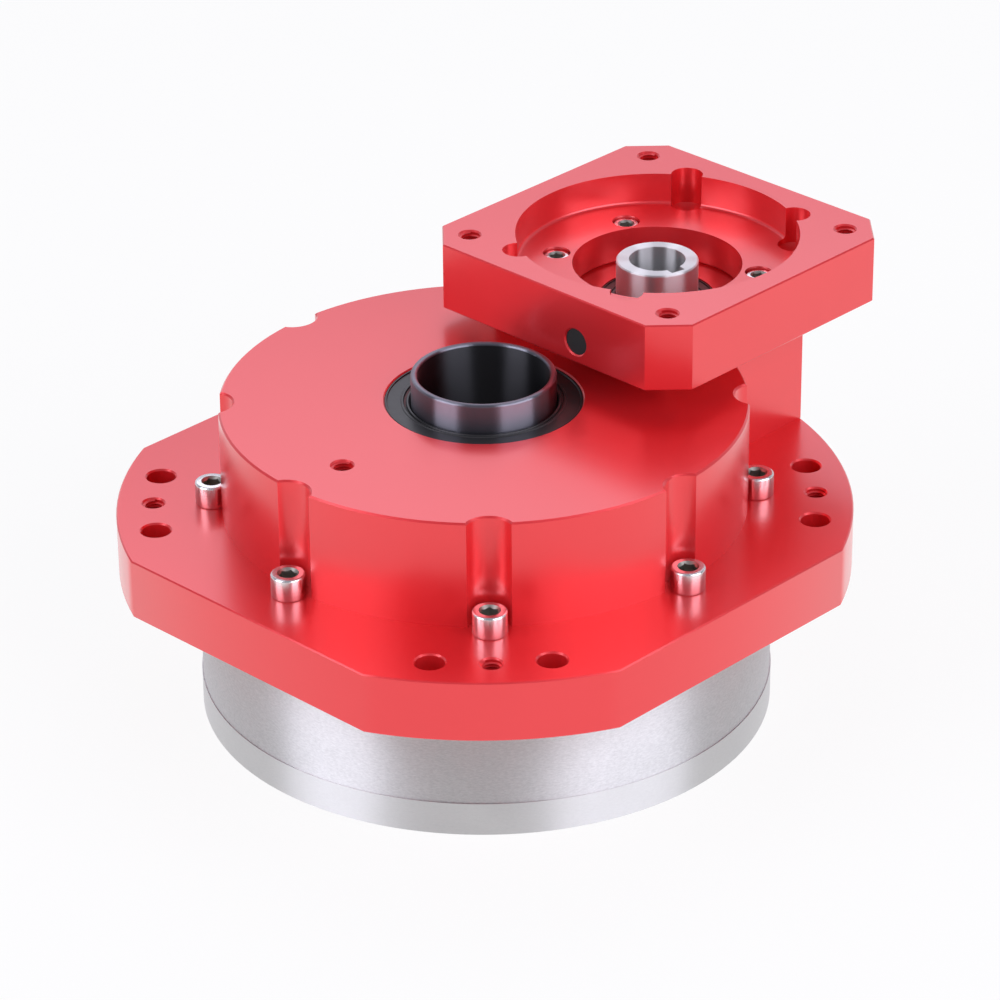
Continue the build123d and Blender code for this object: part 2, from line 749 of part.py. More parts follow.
with BuildPart() as cycloid_disc_b:
    with BuildSketch(Plane(origin=(-eccentricity, 0, disc_b_bottom))) as outline_b:
        make_face(cycloid_outline(-1))
        Circle(disc_bore / 2, mode=Mode.SUBTRACT)
        with Locations(*crank_points):
            Circle(disc_crank_hole / 2, mode=Mode.SUBTRACT)
        for turn in pillar_turns:
            add(pillar_outline(turn, window_growth), mode=Mode.SUBTRACT)
    extrude(amount=disc_thickness)
cycloid_disc_b.part.label = "cycloid_disc_b"
export_step(cycloid_disc_b.part, "parts/cycloid_disc_b.step")

# Crankshafts with their gears, clips and needle cages
crank_gear_step = 360.0 / crank_gear_teeth

for number, (angle, point) in enumerate(zip(crank_angles, crank_points), start=1):
    x, y = point
    with BuildPart() as crankshaft:
        add_disc(crank_bottom, eccentric_bottom - crank_bottom, journal_diameter, point)
        lower_throw = crank_middle - eccentric_bottom
        add_disc(eccentric_bottom, lower_throw, eccentric_diameter, (x + eccentricity, y))
        upper_throw = eccentric_top - crank_middle
        add_disc(crank_middle, upper_throw, eccentric_diameter, (x - eccentricity, y))
        add_disc(eccentric_top, crank_gear_bottom - eccentric_top, journal_diameter, point)
        add_disc(crank_gear_bottom, crank_top - crank_gear_bottom, gear_seat_diameter, point)
        groove_floor = gear_seat_diameter - 2 * clip_depth
        cut_ring(crank_gear_top, clip_thickness, groove_floor, gear_seat_diameter + groove_margin, point)
    crankshaft.part.label = f"crankshaft_{number}"
    export_step(crankshaft.part, f"parts/crankshaft_{number}.step")

    with BuildPart() as crank_gear:
        with BuildSketch(Plane(origin=(x, y, crank_gear_bottom))):
            make_face(spur_gear_outline(crank_gear_teeth, angle + 180.0 + crank_gear_step / 2))
            Circle(gear_seat_diameter / 2, mode=Mode.SUBTRACT)
        extrude(amount=crank_gear_width)
    crank_gear.part.label = f"crank_gear_{number}"
    export_step(crank_gear.part, f"parts/crank_gear_{number}.step")

    with BuildPart() as crank_clip:
        add_clip(crank_gear_top, groove_floor, groove_floor + 2 * clip_rim, point)
    crank_clip.part.label = f"crank_clip_{number}"
    export_step(crank_clip.part, f"parts/crank_clip_{number}.step")

    with BuildPart() as needle_cages:
        cage_outer_diameter = disc_crank_hole - 2 * running_gap
        for level, throw in ((disc_a_bottom, eccentricity), (disc_b_bottom, -eccentricity)):
            cage_level = level + side_gap / 2
            cage_height = disc_thickness - side_gap
            add_ring(cage_level, cage_height, eccentric_diameter, cage_outer_diameter, (x + throw, y))
    needle_cages.part.label = f"needle_cages_{number}"
    export_step(needle_cages.part, f"parts/needle_cages_{number}.step")

# Sun gear on a sleeve that turns on the centre tube
gear_bearing_bore = gear_bearing_outer + 2 * running_gap
gear_key_inner = sun_sleeve / 2 - gear_key_height / 2
gear_key_middle = gear_key_inner + gear_key_height / 2

with BuildPart() as sun_gear:
    with BuildSketch(Plane.XY.offset(sun_bottom)):
        make_face(spur_gear_outline(sun_teeth))
    extrude(amount=sun_width)
    neck_top = crank_top + sun_crank_gap
    add_disc(sun_top, neck_top - sun_top, sun_neck)
    add_disc(neck_top, hub_top - neck_top, sun_sleeve)
    add_disc(large_gear_bottom - sun_collar_height, sun_collar_height, sun_collar)
    cut_disc(sun_bottom, hub_top - sun_bottom, sun_bore)
    cut_disc(hub_bottom, hub_top - hub_bottom, gear_bearing_bore)
    sleeve_groove = sun_sleeve - 2 * clip_depth
    cut_ring(large_gear_top, clip_thickness, sleeve_groove, sun_sleeve + groove_margin)
    with BuildSketch(Plane.XY.offset(large_gear_bottom)) as key_seat:
        with Locations((gear_key_middle, 0)):
            Rectangle(gear_key_height, gear_key_width)
    extrude(key_seat.sketch, amount=large_gear_width, mode=Mode.SUBTRACT)
sun_gear.part.label = "sun_gear"
export_step(sun_gear.part, "parts/sun_gear.step")

with BuildPart() as large_gear:
    with BuildSketch(Plane.XY.offset(large_gear_bottom)):
        make_face(spur_gear_outline(large_gear_teeth))
        Circle(sun_sleeve / 2, mode=Mode.SUBTRACT)
        with Locations((gear_key_middle, 0)):
            Rectangle(gear_key_height, gear_key_width, mode=Mode.SUBTRACT)
        with PolarLocations(lightening_circle / 2, lightening_count, lightening_turn):
            Circle(lightening_hole / 2, mode=Mode.SUBTRACT)
    extrude(amount=large_gear_width)
    web_sink = (large_gear_width - web_thickness) / 2
    cut_ring(large_gear_bottom, web_sink, hub_outer, rim_inner)
    cut_ring(large_gear_top - web_sink, web_sink, hub_outer, rim_inner)
large_gear.part.label = "large_gear"
export_step(large_gear.part, "parts/large_gear.step")

with BuildPart() as gear_key:
    with BuildSketch(Plane.XY.offset(large_gear_bottom)):
        with Locations((gear_key_middle, 0)):
            Rectangle(gear_key_height, gear_key_width)
    extrude(amount=large_gear_width)
gear_key.part.label = "gear_key"
export_step(gear_key.part, "parts/gear_key.step")

with BuildPart() as large_gear_clip:
    add_clip(large_gear_top, sleeve_groove, sleeve_groove + 2 * clip_rim)
large_gear_clip.part.label = "large_gear_clip"
export_step(large_gear_clip.part, "parts/large_gear_clip.step")

with BuildPart() as centre_gear_bearings:
    for level in (hub_bottom, gear_bearings_top - gear_bearing_width):
        add_bearing(level, gear_bearing_width, tube_outer, gear_bearing_outer)
centre_gear_bearings.part.label = "centre_gear_bearings"
export_step(centre_gear_bearings.part, "parts/centre_gear_bearings.step")

# Centre tube, which turns with the output
tube_groove = tube_outer - 2 * clip_depth
tube_clip_levels = (hub_bottom - clip_thickness, gear_bearings_top)

with BuildPart() as centre_tube:
    add_ring(tube_bottom, tube_top - tube_bottom, tube_inner, tube_outer)
    fillet(centre_tube.faces().sort_by(Axis.Z)[-1].edges(), tube_lip)
    for level in tube_clip_levels:
        cut_ring(level, clip_thickness, tube_groove, tube_outer + groove_margin)
centre_tube.part.label = "centre_tube"
export_step(centre_tube.part, "parts/centre_tube.step")

with BuildPart() as tube_clips:
    for level in tube_clip_levels:
        add_clip(level, tube_groove, tube_groove + 2 * clip_rim)
tube_clips.part.label = "tube_clips"
export_step(tube_clips.part, "parts/tube_clips.step")

with BuildPart() as centre_seal:
    add_lip_seal(centre_seal_bottom, centre_seal_width, tube_outer, centre_seal_outer)
centre_seal.part.label = "centre_seal"
export_step(centre_seal.part, "parts/centre_seal.step")

# Input shaft: keyed sleeve and pinion in one piece
pinion_step = 360.0 / pinion_teeth
key_side = (*polar(1.0, key_angle), 0.0)
key_plane = Plane(origin=(input_axis, 0, sleeve_top), x_dir=key_side)

with BuildPart() as input_shaft:
    with BuildSketch(Plane(origin=(input_axis, 0, pinion_bottom))):
        make_face(spur_gear_outline(pinion_teeth, 180.0 + pinion_step / 2))
    extrude(amount=pinion_width)
    add_disc(lower_input_bottom + seat_gap, lower_bearing_width, lower_journal, input_centre)
    add_disc(lower_input_top, pinion_bottom - lower_input_top, lower_shoulder, input_centre)
    add_disc(pinion_top, upper_input_bottom - pinion_top, bearing_shoulder, input_centre)
    add_disc(upper_input_bottom, sleeve_top - upper_input_bottom, sleeve_outer, input_centre)
    chamfer(input_shaft.faces().sort_by(Axis.Z)[-1].edges(), edge_chamfer)
    cut_disc(sleeve_top - sleeve_bore_depth, sleeve_bore_depth, sleeve_bore, [input_centre])
    with BuildSketch(key_plane):
        with Locations((key_reach / 2, 0)):
            Rectangle(key_reach, key_width)
    extrude(amount=-sleeve_bore_depth, mode=Mode.SUBTRACT)
input_shaft.part.label = "input_shaft"
export_step(input_shaft.part, "parts/input_shaft.step")

with BuildPart() as upper_input_bearing:
    bore = sleeve_outer + 2 * running_gap
    add_bearing(upper_input_bottom, upper_bearing_width, bore, upper_bearing_outer, input_centre)
upper_input_bearing.part.label = "upper_input_bearing"
export_step(upper_input_bearing.part, "parts/upper_input_bearing.step")

with BuildPart() as lower_input_bearing:
    bore = lower_journal + 2 * running_gap
    add_bearing(lower_input_bottom, lower_bearing_width, bore, lower_bearing_outer, input_centre)
lower_input_bearing.part.label = "lower_input_bearing"
export_step(lower_input_bearing.part, "parts/lower_input_bearing.step")

with BuildPart() as input_cover:
    add_ring(cover_bottom, column_top - cover_bottom, cover_bore, cover_diameter, input_centre)
    cut_disc(input_seal_bottom, column_top - input_seal_bottom, input_seal_outer, [input_centre])
input_cover.part.label = "input_cover"
export_step(input_cover.part, "parts/input_cover.step")

with BuildPart() as input_seal:
    add_lip_seal(input_seal_bottom, input_seal_width, sleeve_outer, input_seal_outer, input_centre)
input_seal.part.label = "input_seal"
export_step(input_seal.part, "parts/input_seal.step")
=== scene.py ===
import json
import math

import bpy
from mathutils import Matrix, Vector

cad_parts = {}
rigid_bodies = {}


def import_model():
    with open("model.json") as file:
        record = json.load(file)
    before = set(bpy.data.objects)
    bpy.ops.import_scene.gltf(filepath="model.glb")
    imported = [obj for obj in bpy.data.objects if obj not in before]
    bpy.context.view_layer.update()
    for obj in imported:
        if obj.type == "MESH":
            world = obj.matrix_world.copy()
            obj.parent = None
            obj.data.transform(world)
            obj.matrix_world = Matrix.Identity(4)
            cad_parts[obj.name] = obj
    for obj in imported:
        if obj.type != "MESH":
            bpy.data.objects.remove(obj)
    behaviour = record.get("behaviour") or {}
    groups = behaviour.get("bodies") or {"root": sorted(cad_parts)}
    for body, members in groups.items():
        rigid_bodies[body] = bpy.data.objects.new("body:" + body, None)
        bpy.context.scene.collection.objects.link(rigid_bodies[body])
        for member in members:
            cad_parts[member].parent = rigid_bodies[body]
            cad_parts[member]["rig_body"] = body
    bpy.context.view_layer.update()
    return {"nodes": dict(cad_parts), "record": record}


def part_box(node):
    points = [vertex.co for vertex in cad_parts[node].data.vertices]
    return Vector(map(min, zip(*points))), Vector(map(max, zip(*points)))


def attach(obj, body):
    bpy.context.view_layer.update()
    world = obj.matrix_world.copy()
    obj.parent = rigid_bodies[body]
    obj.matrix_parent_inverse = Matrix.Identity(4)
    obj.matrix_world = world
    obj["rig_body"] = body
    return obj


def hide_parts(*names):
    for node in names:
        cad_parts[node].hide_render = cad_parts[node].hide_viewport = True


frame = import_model()
nodes = frame["nodes"]
mm = 0.001
inputAxis = (97.0 * mm, 0.0)
mainAxis = (0.0, 0.0)

# Shader building


class Wire:
    # An output socket that can stand in a formula
    def __init__(self, tree, socket):
        self.tree = tree
        self.socket = socket

    def maths(self, operation, first, second):
        node = self.tree.nodes.new("ShaderNodeMath")
        node.operation = operation
        for socket, value in zip(node.inputs, (first, second)):
            plug(self.tree, socket, value)
        return Wire(self.tree, node.outputs[0])

    def __add__(self, other):
        return self.maths("ADD", self, other)

    def __radd__(self, other):
        return self.maths("ADD", other, self)

    def __sub__(self, other):
        return self.maths("SUBTRACT", self, other)

    def __rsub__(self, other):
        return self.maths("SUBTRACT", other, self)

    def __mul__(self, other):
        return self.maths("MULTIPLY", self, other)

    def __rmul__(self, other):
        return self.maths("MULTIPLY", other, self)

    def __gt__(self, other):
        return self.maths("GREATER_THAN", self, other)

    def __lt__(self, other):
        return self.maths("LESS_THAN", self, other)


def plug(tree, socket, value):
    if isinstance(value, Wire):
        tree.links.new(value.socket, socket)
    else:
        socket.default_value = value


class Finish:
    # A material or a world, with one way to add any node
    def __init__(self, name, world=False):
        made = bpy.data.worlds.new(name) if world else bpy.data.materials.new(name)
        made.use_nodes = True
        self.made = made
        self.tree = made.node_tree
        self.shader = self.tree.nodes.get("Background" if world else "Principled BSDF")

    def add(self, kind, settings=None, output=0, **sockets):
        # An input is called by its name, or by an underscore and its number
        node = self.tree.nodes.new(kind)
        for name, value in (settings or {}).items():
            setattr(node, name, value)
        for name, value in sockets.items():
            place = int(name[1:]) if name[1:].isdigit() else name
            plug(self.tree, node.inputs[place], value)
        return Wire(self.tree, node.outputs[output])

    def objectPlace(self):
        return self.add("ShaderNodeTexCoord", output=3)

    def parts(self, place):
        return [self.add("ShaderNodeSeparateXYZ", output=way, _0=place) for way in range(3)]

    def noise(self, place, scale, detail, roughness=0.5):
        return self.add("ShaderNodeTexNoise", _0=place, Scale=scale, Detail=detail, Roughness=roughness)

    def bump(self, height, distance, strength):
        self.set(Normal=self.add("ShaderNodeBump", Strength=strength, Distance=distance, Height=height))

    def grooves(self, turning):
        # Turned grooves stretch a highlight across them, from 0, not at all, to 1
        self.set(Anisotropic=turning, Anisotropic_Rotation=0.25)

    def mixed(self, factor, first, second):
        colours = {"_6": first, "_7": second}
        return self.add("ShaderNodeMix", {"data_type": "RGBA"}, output=2, _0=factor, **colours)

    def set(self, **values):
        for name, value in values.items():
            plug(self.tree, self.shader.inputs[name.replace("_", " ")], value)


def grey(level):
    return (level, level, level, 1.0)


# Finishes

redLook = {
    "colour": (0.78, 0.017, 0.022, 1.0),
    "paler": (0.83, 0.027, 0.034, 1.0),
    "metallic": 0.55,
    "roughness": 0.36,
    "unevenness": 0.08,
    "coatIor": 1.57,
    "coatRoughness": 0.23,
    "cloudScale": 18.0,
    "grainScale": 900.0,
    "grainHeight": 0.02 * mm,
    "grainStrength": 0.25,
}


def redAnodised():
    look = redLook
    finish = Finish("redAnodised")
    place = finish.objectPlace()
    cloud = finish.noise(place, look["cloudScale"], detail=3.0)
    grain = finish.noise(place, look["grainScale"], detail=2.0)
    colour = finish.mixed(cloud, look["colour"], look["paler"])
    finish.bump(grain, look["grainHeight"], look["grainStrength"])
    finish.set(Base_Color=colour, Metallic=look["metallic"])
    finish.set(Roughness=look["roughness"] + look["unevenness"] * (cloud - 0.5))
    finish.set(Coat_Weight=1.0, Coat_IOR=look["coatIor"], Coat_Roughness=look["coatRoughness"])
    return finish.made


caseLook = {
    "light": grey(0.80),
    "dark": grey(0.42),
    "shade": 0.66,  # from 0, dark, to 1, light
    "roughness": 0.40,
    "bandTop": 13.2 * mm,
    "bandContrast": 0.45,
    "bodyContrast": 1.0,
    "bodyRoughness": 0.10,
    "unevenness": 0.15,
    "speckleScale": (620.0, 620.0, 1600.0),
    "speckleShare": 0.65,
    "blotchScale": 45.0,
    "grainHeight": 0.014 * mm,
    "grainStrength": 0.5,
    "turning": 0.95,
}


def turnedSteel():
    look = caseLook
    finish = Finish("turnedSteel")
    place = finish.objectPlace()
    stretched = finish.add("ShaderNodeMapping", Vector=place, Scale=look["speckleScale"])
    speckle = finish.noise(stretched, 1.0, detail=4.0, roughness=0.7)
    blotch = finish.noise(place, look["blotchScale"], detail=4.0, roughness=0.6)
    body = finish.parts(place)[2] > look["bandTop"]
    rough = speckle * look["speckleShare"] + blotch * (1 - look["speckleShare"])
    mask = look["shade"] + (rough - 0.5) * (look["bandContrast"] + look["bodyContrast"] * body)
    colour = finish.mixed(mask, look["dark"], look["light"])
    finish.bump(mask, look["grainHeight"], look["grainStrength"])
    wear = look["bodyRoughness"] * body + look["unevenness"] * (blotch - 0.5)
    finish.set(Base_Color=colour, Metallic=1.0, Roughness=look["roughness"] + wear)
    finish.grooves(look["turning"])
    return finish.made


metalLook = {"cloudScale": 140.0, "unevenness": 0.1, "grainScale": 2500.0, "grainStrength": 0.4}


def plainMetal(name, colour, roughness, grain=0.0, turning=0.0, bore=None):
    finish = Finish(name)
    place = finish.objectPlace()
    cloud = finish.noise(place, metalLook["cloudScale"], detail=4.0)
    if bore:
        # Inside the bore the colour is darker, a painted shade, and the roughness is the bore's own
        x, y, z = finish.parts(place)
        x, y = x - bore["centre"][0], y - bore["centre"][1]
        inShadedBore = (x * x + y * y < bore["radius"] ** 2) * (z < bore["top"])
        colour = finish.mixed(inShadedBore, colour, bore["colour"])
        roughness = roughness + inShadedBore * (bore["roughness"] - roughness)
    uneven = metalLook["unevenness"] * (cloud - 0.5)
    finish.set(Base_Color=colour, Metallic=1.0, Roughness=roughness + uneven)
    finish.grooves(turning)
    if grain:
        fine = finish.noise(place, metalLook["grainScale"], detail=3.0)
        finish.bump(fine, grain, metalLook["grainStrength"])
    return finish.made


rubberLook = {
    "cloudScale": 300.0,
    "unevenness": 0.15,
    "grainScale": 3000.0,
    "grainHeight": 0.02 * mm,
    "grainStrength": 0.3,
}


def rubber(name, level, roughness):
    look = rubberLook
    finish = Finish(name)
    place = finish.objectPlace()
    cloud = finish.noise(place, look["cloudScale"], detail=4.0)
    grain = finish.noise(place, look["grainScale"], detail=2.0)
    finish.bump(grain, look["grainHeight"], look["grainStrength"])
    finish.set(Base_Color=grey(level), Roughness=roughness + look["unevenness"] * (cloud - 0.5))
    return finish.made


# The bore colours of the black tube and the sleeve are painted shade inside the holes
shadedTubeBore = {
    "centre": mainAxis,
    "radius": 26.0 * mm,
    "top": 134.0 * mm,
    "colour": (0.065, 0.065, 0.07, 1.0),
    "roughness": 0.42,
}
shadedSleeveBore = {
    "centre": inputAxis,
    "radius": 13.9 * mm,
    "top": 148.7 * mm,
    "colour": grey(0.62),
    "roughness": 0.42,
}
black = (0.21, 0.21, 0.245, 1.0)
brass = (0.62, 0.42, 0.16, 1.0)
finishes = {
    "red_housing": redAnodised(),
    "case_steel": turnedSteel(),
    "zinc_screw": plainMetal("zincScrew", grey(0.82), 0.24, turning=0.8),
    "seal_rubber": rubber("sealRubber", 0.02, 0.32),
    "plug_rubber": rubber("plugRubber", 0.010, 0.6),
    "black_tube": plainMetal("blackTube", black, 0.30, turning=1.0, bore=shadedTubeBore),
    "shaft_steel": plainMetal(
        "shaftSteel", grey(0.80), 0.38, grain=0.002 * mm, turning=1.0, bore=shadedSleeveBore),
    "carrier_steel": plainMetal("carrierSteel", grey(0.46), 0.40, grain=0.01 * mm, turning=0.8),
    "gear_steel": plainMetal("gearSteel", grey(0.38), 0.3),
    "bearing_steel": plainMetal("bearingSteel", grey(0.7), 0.12),
    "cage_brass": plainMetal("cageBrass", brass, 0.3),
    "spring_steel": plainMetal("springSteel", grey(0.12), 0.3),
}
print("finishes made")

# The CAD pieces, smoothed


def allOff():
    bpy.ops.object.select_all(action="DESELECT")


def pick(piece):
    allOff()
    piece.select_set(True)
    bpy.context.view_layer.objects.active = piece


joinReach = 0.001 * mm
cadEdgeAngle = math.radians(28)
ownEdgeAngle = math.radians(30)


def smooth(piece, edgeAngle=ownEdgeAngle):
    pick(piece)
    bpy.ops.object.shade_smooth_by_angle(angle=edgeAngle)


def weld(piece, reach=joinReach):
    # Joins points that lie together
    pick(piece)
    bpy.ops.object.mode_set(mode="EDIT")
    bpy.ops.mesh.select_all(action="SELECT")
    bpy.ops.mesh.remove_doubles(threshold=reach)
    bpy.ops.object.mode_set(mode="OBJECT")


def mergedCopy(nodeName):
    # The CAD mesh is loose triangles, so a copy is merged and smoothed
    source = nodes[nodeName]
    piece = bpy.data.objects.new(nodeName + "_finish", source.data.copy())
    bpy.context.scene.collection.objects.link(piece)
    pick(piece)
    bpy.ops.mesh.customdata_custom_splitnormals_clear()
    weld(piece)
    smooth(piece, cadEdgeAngle)
    return piece


slotOf = {row["node"]: row["material_slot"] for row in frame["record"]["subparts"]}
modelledHere = ("housing_screws", "adapter_screws", "centre_seal", "input_seal", "main_seal")
for nodeName, node in nodes.items():
    node.data.materials.clear()
    node.data.materials.append(finishes[slotOf[nodeName]])


def dress(piece, nodeName, replaced=False, painted=False):
    # Gives a piece the body of a CAD node, and its finish unless it is painted already
    if not painted:
        piece.data.materials.clear()
        piece.data.materials.append(finishes[slotOf[nodeName]])
    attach(piece, nodes[nodeName]["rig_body"])
    if replaced:
        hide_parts(nodeName)


for nodeName in sorted(set(nodes) - set(modelledHere)):
    dress(mergedCopy(nodeName), nodeName, replaced=True)
print("CAD pieces smoothed")

# Ways of shaping that several pieces share


def selectFaces(piece, wanted):
    # Leaves edit mode on, with only the wanted faces selected
    pick(piece)
    bpy.ops.object.mode_set(mode="EDIT")
    bpy.ops.mesh.select_mode(type="FACE")
    bpy.ops.mesh.select_all(action="DESELECT")
    bpy.ops.object.mode_set(mode="OBJECT")
    for face in piece.data.polygons:
        face.select = wanted(face)
    bpy.ops.object.mode_set(mode="EDIT")


def facesUp(face):
    return face.normal.z > 0.9


def facesDown(face):
    return face.normal.z < -0.9


def inPlace(name):
    # Names the new primitive and moves its place into its mesh
    piece = bpy.context.active_object
    piece.name = name
    bpy.ops.object.transform_apply(location=True, rotation=True, scale=True)
    return piece


def roundBlock(name, sides, radius, bottom, height, centre=mainAxis):
    allOff()
    middle = (centre[0], centre[1], bottom + height / 2)
    bpy.ops.mesh.primitive_cylinder_add(vertices=sides, radius=radius, depth=height, location=middle)
    return inPlace(name)


def coneBlock(name, sides, lowRadius, highRadius, bottom, height, centre=mainAxis):
    allOff()
    middle = (centre[0], centre[1], bottom + height / 2)
    bpy.ops.mesh.primitive_cone_add(
        vertices=sides, radius1=lowRadius, radius2=highRadius, depth=height, location=middle)
    return inPlace(name)


def cutWith(piece, cutter):
    # Cuts one closed piece out of another
    pick(piece)
    cut = piece.modifiers.new("cut", "BOOLEAN")
    cut.operation = "DIFFERENCE"
    cut.object = cutter
    bpy.ops.object.modifier_apply(modifier="cut")
    bpy.data.objects.remove(cutter)


def joined(pieces, name):
    if len(pieces) == 1:
        return pieces[0]
    allOff()
    for piece in pieces:
        piece.select_set(True)
    bpy.context.view_layer.objects.active = pieces[0]
    bpy.ops.object.join()
    pieces[0].name = name
    return pieces[0]


def repeated(pattern, name, places):
    # Copies a piece to places given as x, y, z and turn in radians, and joins the copies
    made = []
    for x, y, z, turn in places:
        twin = bpy.data.objects.new(name, pattern.data.copy())
        twin.data.transform(Matrix.Translation((x, y, z)) @ Matrix.Rotation(turn, 4, "Z"))
        bpy.context.scene.collection.objects.link(twin)
        made.append(twin)
    bpy.data.objects.remove(pattern)
    return joined(made, name)


def onCircle(radius, angles, centre=mainAxis):
    spots = [(math.cos(math.radians(angle)), math.sin(math.radians(angle))) for angle in angles]
    return [(centre[0] + radius * x, centre[1] + radius * y) for x, y in spots]


# Socket head screws

housingScrewLook = {
    "circle": 103.5 * mm,
    "centre": mainAxis,
    "angles": range(45, 360, 45),
    "head": 13.0 * mm,
    "seat": 82.0 * mm,
    "height": 9.2 * mm,
    "key": 6.0 * mm,
    "rim": 0.9 * mm,
    "foot": 0.6 * mm,
    "mouth": 8.1 * mm,
    "shank": 7.9 * mm,
    "length": 40.0 * mm,
}
adapterScrewLook = {
    "circle": 40.0 * mm,
    "centre": inputAxis,
    "angles": (60, 120, 240, 300),
    "head": 10.0 * mm,
    "seat": 140.5 * mm,
    "height": 6.0 * mm,
    "key": 5.0 * mm,
    "rim": 0.6 * mm,
    "foot": 0.35 * mm,
    "mouth": 6.6 * mm,
    "shank": 5.9 * mm,
    "length": 20.0 * mm,
}
screwLook = {
    "headSides": 48,
    "shankSides": 32,
    "keySides": 6,
    "rimSteps": 4,
    "footSteps": 2,
    "keyDepth": 0.5,  # of the head's height
    "mouthReach": 0.85,  # of the key's corner
    "sliver": 0.02 * mm,
    "socketShadeSpan": (0.4, 0.98),  # of the head's height, painted dark as shade in the socket
    "turnStep": math.radians(19),
}
# A darker finish for the socket walls, a painted shade
socketShade = plainMetal("socketShade", (0.36, 0.35, 0.31, 1.0), 0.42)


def screwHead(nodeName, look):
    shared, height = screwLook, look["height"]
    head = roundBlock("head", shared["headSides"], look["head"] / 2, 0.0, height)
    head.data.materials.append(finishes[slotOf[nodeName]])
    head.data.materials.append(socketShade)
    selectFaces(head, facesUp)
    bpy.ops.mesh.bevel(offset=look["rim"], segments=shared["rimSteps"], affect="EDGES")
    bpy.ops.object.mode_set(mode="OBJECT")
    selectFaces(head, facesDown)
    bpy.ops.mesh.bevel(offset=look["foot"], segments=shared["footSteps"], affect="EDGES")
    bpy.ops.object.mode_set(mode="OBJECT")
    corner = look["key"] / 2 / math.cos(math.pi / shared["keySides"])
    mouth = look["mouth"] / 2
    slope = mouth - shared["mouthReach"] * corner
    narrow, wide = mouth - slope, mouth + slope
    cutWith(head, coneBlock("mouth", shared["headSides"], narrow, wide, height - slope, 2 * slope))
    floor = height * (1 - shared["keyDepth"])
    cutWith(head, roundBlock("key", shared["keySides"], corner, floor, height))
    weld(head, shared["sliver"])
    # The socket walls between these heights take the darker finish, a painted shade
    lowest, highest = (share * height for share in shared["socketShadeSpan"])
    for face in head.data.polygons:
        inside = math.hypot(face.center.x, face.center.y) < mouth
        face.material_index = int(inside and lowest < face.center.z < highest)
    return head


def addScrews(name, nodeName, look):
    head = screwHead(nodeName, look)
    length = look["length"]
    shank = roundBlock("shank", screwLook["shankSides"], look["shank"] / 2, -length, length)
    shank.data.materials.append(finishes[slotOf[nodeName]])
    screw = joined([head, shank], "screw")
    smooth(screw)
    spots = onCircle(look["circle"], look["angles"], look["centre"])
    turn = screwLook["turnStep"]
    places = [(x, y, look["seat"], turn * number) for number, (x, y) in enumerate(spots)]
    dress(repeated(screw, name, places), nodeName, replaced=True, painted=True)


addScrews("housingScrews", "housing_screws", housingScrewLook)
addScrews("adapterScrews", "adapter_screws", adapterScrewLook)
print("screws modelled")

# Drill points under the side notches of the motor adapter

notchLook = {
    "centre": inputAxis,
    "reach": 55.9 * mm,
    "angles": (30, 150, 210, 330),
    "floor": 145.5 * mm,
    "overlap": 0.05 * mm,
    "radius": 6.25 * mm,
    "slope": math.radians(31),
    "sides": 48,
}


def addDrillPoints():
    look = notchLook
    adapter = bpy.data.objects["motor_adapter_finish"]
    depth = look["radius"] * math.tan(look["slope"])
    tip = look["floor"] + look["overlap"] - depth
    for spot in onCircle(look["reach"], look["angles"], look["centre"]):
        cutWith(adapter, coneBlock("drill", look["sides"], 0.0, look["radius"], tip, depth, spot))
    smooth(adapter, cadEdgeAngle)


addDrillPoints()
print("notches drilled")

# Thread turns in the tapped holes

threadLook = {
    "radius": 4.0 * mm,
    "pitch": 1.25 * mm,
    "ridge": 0.5 * mm,
    "sunk": 0.05 * mm,
    "start": 0.9 * mm,
    "turns": 9,
    "steps": 24,
    "turnStep": 0.7,  # radians from one hole to the next
}
corners = (45, 135, 225, 315)
threadedHoles = {
    # name: node, mouth level, way in, spots
    "jackThreads": ("main_housing", 82.0 * mm, -1, onCircle(126.0 * mm, corners)),
    "greaseThreads": ("main_housing", 124.5 * mm, -1, [(-74.6 * mm, 0.0)]),
    "motorThreads": ("motor_adapter", 160.5 * mm, -1, onCircle(72.5 * mm, corners, inputAxis)),
    "outputThreads": ("output_flange", 1.0 * mm, 1, onCircle(65.0 * mm, range(15, 360, 30))),
}


def addThreads():
    # A triangle that points to the hole's axis is wound down the hole, its base in the wall
    look = threadLook
    middle = look["radius"] + look["sunk"] - look["ridge"] / 2
    upright = (math.pi / 2, -math.pi / 2, 0)
    for name, (nodeName, mouth, way, spots) in threadedHoles.items():
        allOff()
        bpy.ops.mesh.primitive_circle_add(
            vertices=3, radius=look["ridge"], location=(middle, 0, 0), rotation=upright)
        ridge = inPlace("ridge")
        winding = ridge.modifiers.new("winding", "SCREW")
        winding.axis = "Z"
        winding.steps = winding.render_steps = look["steps"]
        winding.iterations = look["turns"]
        winding.screw_offset = way * look["pitch"]
        bpy.ops.object.modifier_apply(modifier="winding")
        weld(ridge)
        bpy.ops.object.mode_set(mode="EDIT")
        bpy.ops.mesh.select_all(action="SELECT")
        bpy.ops.mesh.fill_holes(sides=3)
        bpy.ops.mesh.select_all(action="SELECT")
        bpy.ops.mesh.normals_make_consistent(inside=False)
        bpy.ops.object.mode_set(mode="OBJECT")
        smooth(ridge)
        start, turn = mouth + way * look["start"], look["turnStep"]
        places = [(x, y, start, turn * number) for number, (x, y) in enumerate(spots)]
        dress(repeated(ridge, name, places), nodeName)


addThreads()
print("threads cut")

# Rotary seals

